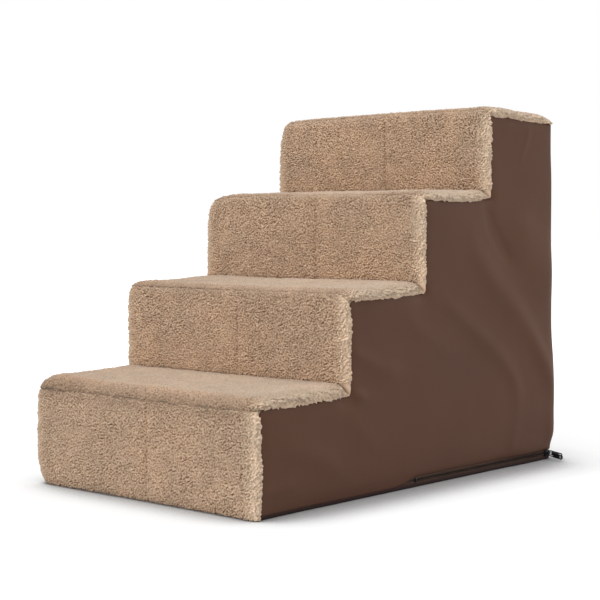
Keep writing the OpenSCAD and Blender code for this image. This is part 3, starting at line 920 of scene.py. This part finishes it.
class Tree:
    """Short forms for building the nodes of a material or of the world."""

    def __init__(self, name, kind=bpy.data.materials, shader="Principled BSDF"):
        self.owner = kind.new(name)
        self.owner.use_nodes = True
        self.nodes, self.links = self.owner.node_tree.nodes, self.owner.node_tree.links
        self.shader = self.nodes[shader]

    def feed(self, node, inputs):
        """Links or sets a node's inputs, by their names or numbers."""
        for name, value in inputs.items():
            if isinstance(value, bpy.types.NodeSocket):
                self.links.new(value, node.inputs[name])
            else:
                node.inputs[name].default_value = value

    def node(self, kind, inputs, output, **settings):
        """One output of a new node."""
        node = self.nodes.new("ShaderNode" + kind)
        for name, value in settings.items():
            setattr(node, name, value)
        self.feed(node, inputs)
        return node.outputs[output]

    def place(self):
        return self.node("TexCoord", {}, "Object")

    def noise(self, scale, detail=2.0, rough=0.5, stretch=None):
        place = self.place()
        if stretch:
            place = self.node("Mapping", {"Scale": stretch, "Vector": place}, "Vector")
        inputs = {"Scale": scale, "Detail": detail, "Roughness": rough, "Vector": place}
        return self.node("TexNoise", inputs, "Fac")

    def ramp(self, value, *stops):
        """The colour of a ramp at a value. Each stop is a place and a colour, or a shade of grey."""
        node = self.nodes.new("ShaderNodeValToRGB")
        elements = node.color_ramp.elements
        while len(elements) < len(stops):
            elements.new(0.5)
        for element, (at, colour) in zip(elements, stops):
            element.position = at
            element.color = colour if isinstance(colour, tuple) else grey(colour)
        self.links.new(value, node.inputs["Fac"])
        return node.outputs["Color"]

    def mix(self, fac, a, b, blend="MIX"):
        return self.node("Mix", {"Factor": fac, 6: a, 7: b}, 2, data_type="RGBA", blend_type=blend)

    def times(self, colour, value, *stops):
        """A colour times the ramp's colour at a value."""
        return self.mix(1.0, colour, self.ramp(value, *stops), "MULTIPLY")

    def math(self, operation, a, b=0.0):
        return self.node("Math", {0: a, 1: b}, 0, operation=operation)

    def spread(self, value, low, high):
        """value, from 0 to 1, moved to the range from low to high."""
        return self.node("MapRange", {"Value": value, "To Min": low, "To Max": high}, "Result")

    def finished(self, colour, height, distance, strength, inputs):
        """The material, with that colour, with height raised as a bump, and with its other inputs."""
        bump = {"Height": height, "Distance": distance, "Strength": strength}
        self.feed(self.shader, {"Base Color": colour, "Normal": self.node("Bump", bump, "Normal"), **inputs})
        return self.owner


def sherpa_material():
    """Curly tan pile: dark gaps, partly painted shade, lighter curls, patches of warmer and cooler tan, and
    painted light and shade read from the mesh.
    """
    tree = Tree("sherpa")
    # the pile's tone from gaps to tips, with painted shade in the gaps and further painted light and shade
    height = tree.node("Attribute", {}, "Fac", attribute_name="pile_tone_and_painted_light")
    brushed = tree.node("Attribute", {}, "Fac", attribute_name="pile_painted_top_light")
    # the last stop is reached only on the side edges, as painted light
    body = tree.ramp(height, (0.0, srgb(92, 64, 43)), (0.26, srgb(160, 127, 100)),
                     (0.55, srgb(196, 165, 138)), (0.85, srgb(217, 191, 164)), (1.0, srgb(254, 226, 197)))
    # greyer painted top light on the treads' tops and noses
    body = tree.mix(brushed, body, srgb(178, 159, 138))
    body = tree.times(body, tree.noise(9.0, 3.0), (0.35, 0.93), (0.65, (1.02, 1.0, 0.98, 1)))
    body = tree.times(body, tree.noise(42.0, 4.0, 0.6), (0.3, 0.9), (0.7, 1.08))
    body = tree.times(body, tree.noise(1400.0), (0.3, 0.84), (0.7, 1.1))
    return tree.finished(body, tree.noise(1100.0), 0.0005, 0.7, {
        "Roughness": 0.95, "Sheen Weight": 0.5, "Sheen Roughness": 0.4, "Specular IOR Level": 0.15})


def cloth_material(name, colour, rough):
    """Smooth woven microfibre with a soft sheen."""
    tree = Tree(name)
    thread = (1.0, 1.0, 0.55)
    body = tree.times(colour, tree.noise(5.0, 3.0), (0.3, 0.94), (0.7, 1.06))
    body = tree.times(body, tree.noise(2600.0, 1.0, 0.5, thread), (0.3, 0.9), (0.7, 1.1))
    return tree.finished(body, tree.noise(2400.0, 1.0, 0.5, thread), 0.0001, 0.35, {
        "Roughness": tree.spread(tree.noise(30.0, 3.0), rough - 0.05, rough + 0.05),
        "Specular IOR Level": 0.15})


def tape_material():
    """Ribbed zip tape, with painted shade in the slit where its halves meet."""
    tree = Tree("zip_tape")
    ribs = tree.noise(900.0, 1.0, 0.5, (1.0, 1.0, 3.0))
    body = tree.ramp(ribs, (0.3, srgb(70, 49, 37)), (0.7, srgb(94, 69, 53)))
    height = tree.node("SeparateXYZ", {0: tree.place()}, "Z")
    away = tree.math("ABSOLUTE", tree.math("SUBTRACT", height, ZIP_Z))
    # painted shade in the slit
    body = tree.times(body, tree.math("MULTIPLY", away, 1 / (2 * MM)), (0.45, 0.25), (0.7, 1.0))
    return tree.finished(body, ribs, 0.0002, 0.6, {"Roughness": 0.85})


def coil_material():
    """Brown nylon."""
    tree = Tree("zip_coil")
    body = tree.ramp(tree.noise(400.0), (0.3, srgb(60, 41, 29)), (0.7, srgb(78, 56, 43)))
    return tree.finished(body, tree.noise(2000.0), 0.00005, 0.4, {"Roughness": 0.5})


def metal_material():
    """Black paint on zip metal, worn a little."""
    tree = Tree("zip_metal")
    body = tree.ramp(tree.noise(350.0, 4.0), (0.35, srgb(14, 13, 14)), (0.75, srgb(28, 26, 27)))
    return tree.finished(body, tree.noise(900.0, 3.0), 0.00004, 0.5, {
        "Roughness": tree.spread(tree.noise(600.0, 3.0), 0.4, 0.55), "Specular IOR Level": 0.3})


def foam_material():
    """Pale upholstery foam with fine pores."""
    tree = Tree("foam")
    pores = tree.node("TexVoronoi", {"Scale": 700.0, "Vector": tree.place()}, "Distance")
    body = tree.ramp(pores, (0.0, srgb(214, 205, 176)), (0.6, srgb(240, 234, 214)))
    return tree.finished(body, pores, 0.0004, 0.5, {"Roughness": 0.95})


# Camera and studio

CAMERA_PLACE = (1.4111, -1.5987, 0.3522)
CAMERA_YAW_DEG, CAMERA_DOWN_DEG = 41.734, 2.966
FOCAL_PIXELS, PICTURE_PIXELS, SENSOR_MM = 1506.7, 600, 36.0

FLOOR_HALF = 20
FLOOR_BOUNCE, FLOOR_SEEN = 0.55, 0.4  # how white the floor is to the light and to the camera
FLOOR_GLOW, GLOW_FROM, GLOW_TO = 0.62, 0.8, 1.8  # its glow under the stairs, dimmed there as painted shade, which grows to 1 between these
CONTACT_SHADOW = 0.12  # how far the painted contact shadow reaches
# which way the occlusion that paints the contact shadow leans, so that it falls more on the right
TOWARDS_LIGHT = {"X": -0.33, "Z": 0.94}
WORLD_LIGHT = 0.4

# Name, place, the point that it faces, width and height, and power
LAMPS = [
    ("top_lamp", (0.1, -0.4, 4.4), (0, 0, 0.2), (3.0, 3.0), 134),
    ("front_lamp", (-1.8, -7.0, 2.7), (0, 0, 0.25), (4.2, 3.4), 245),
    ("right_lamp", (1.6, 1.4, 1.25), (0, 0.1, 0.4), (1.0, 1.0), 7.5),
]


def make_camera():
    data = bpy.data.cameras.new("camera")
    data.sensor_width = SENSOR_MM
    data.lens = FOCAL_PIXELS * SENSOR_MM / PICTURE_PIXELS
    data.clip_start, data.clip_end = 0.05, 60
    camera = new_object("camera", data)
    camera.location = CAMERA_PLACE
    camera.rotation_euler = (math.radians(90 - CAMERA_DOWN_DEG), 0, math.radians(CAMERA_YAW_DEG))
    bpy.context.scene.camera = camera


def seen_rays(tree):
    """1 for rays from the camera, also by way of a reflection or through a gap, and 0 for others."""
    seen = tree.node("LightPath", {}, "Is Camera Ray")
    for name in ("Is Glossy Ray", "Is Transmission Ray"):
        seen = tree.math("MAXIMUM", seen, tree.node("LightPath", {}, name))
    return seen


def make_floor():
    """A white floor that glows white to the camera, with a painted contact shadow drawn from the occlusion
    round the stairs.
    """
    corners = np.array([(-1, -1, 0), (1, -1, 0), (1, 1, 0), (-1, 1, 0)]) * FLOOR_HALF
    floor = mesh_piece("floor", corners, [(0, 1, 2, 3)])
    tree = Tree("floor")
    seen = seen_rays(tree)
    shadow = {"Distance": CONTACT_SHADOW, "Normal": tree.node("CombineXYZ", TOWARDS_LIGHT, "Vector")}
    open_sky = tree.ramp(tree.node("AmbientOcclusion", shadow, "AO", samples=12),
                         (0.5, 0.0), (0.6, 0.35), (0.75, 0.8), (1.0, 1.0))
    away = tree.node("VectorMath", {0: tree.place()}, "Value", operation="LENGTH")
    reach = {"Value": away, "From Min": GLOW_FROM, "From Max": GLOW_TO, "To Min": FLOOR_GLOW}
    glow = tree.math("MULTIPLY", tree.node("MapRange", reach, "Result"), open_sky)
    tree.feed(tree.shader, {
        "Base Color": tree.mix(seen, grey(FLOOR_BOUNCE), grey(FLOOR_SEEN)), "Roughness": 1.0,
        "Specular IOR Level": 0, "Emission Color": grey(1),
        "Emission Strength": tree.math("MULTIPLY", seen, glow)})
    floor.data.materials.append(tree.owner)


def make_lamp(name, place, target, size, power):
    data = bpy.data.lights.new(name, "AREA")
    data.shape = "RECTANGLE"
    data.size, data.size_y = size
    data.energy = power
    lamp = new_object(name, data)
    lamp.location = place
    lamp.visible_camera = False
    lamp.rotation_euler = (Vector(target) - Vector(place)).to_track_quat("-Z", "Y").to_euler()


def make_studio():
    make_floor()
    tree = Tree("studio", bpy.data.worlds, "Background")
    bpy.context.scene.world = tree.owner
    tree.feed(tree.shader, {"Color": grey(1), "Strength": tree.spread(seen_rays(tree), WORLD_LIGHT, 1.0)})
    for lamp in LAMPS:
        make_lamp(*lamp)


# Assembly

make_camera()
make_studio()

side_cloth = cloth_material("side_cloth", srgb(100, 69, 54), 0.58)
tape, coil, metal, foam = tape_material(), coil_material(), metal_material(), foam_material()

make_pile(sherpa_material())
side_panel("side_cloth_right", "side_panel_right", 1, SIDE_FOLDS, 21, side_cloth)
side_panel("side_cloth_left", "side_panel_left", -1, LEFT_FOLDS, 41, side_cloth)
back_panel(side_cloth)
base_sheet(cloth_material("base_cloth", srgb(62, 46, 44), 0.75))
zip_tape("tape_upper", "zip_tape_upper", ZIP_Z / MM + TAPE_SLIT_MM, TAPE_TOP / MM, 51, tape)
zip_tape("tape_lower", "zip_tape_lower", TAPE_LOW / MM, ZIP_Z / MM - TAPE_SLIT_MM, 53, tape)
zip_coil("coil_upper", "zip_coil_upper", 1, coil)
zip_coil("coil_lower", "zip_coil_lower", -1, coil)
rounded_metal("slider_side", "zip_slider_side", "side_slider", SLIDER_EDGE_MM, metal)
rounded_metal("slider_back", "zip_slider_back", "back_slider", SLIDER_EDGE_MM, metal)
rounded_metal("tab_side", "zip_pull_side", "side_pull", TAB_EDGE_MM, metal)
rounded_metal("tab_back", "zip_pull_back", "back_pull", TAB_EDGE_MM, metal)
rounded_metal("end_stops", "zip_stops", "root", TAB_EDGE_MM, metal)
for i in range(STEPS):
    foam_slab(i, foam)

bpy.context.scene.view_settings.view_transform = "Standard"
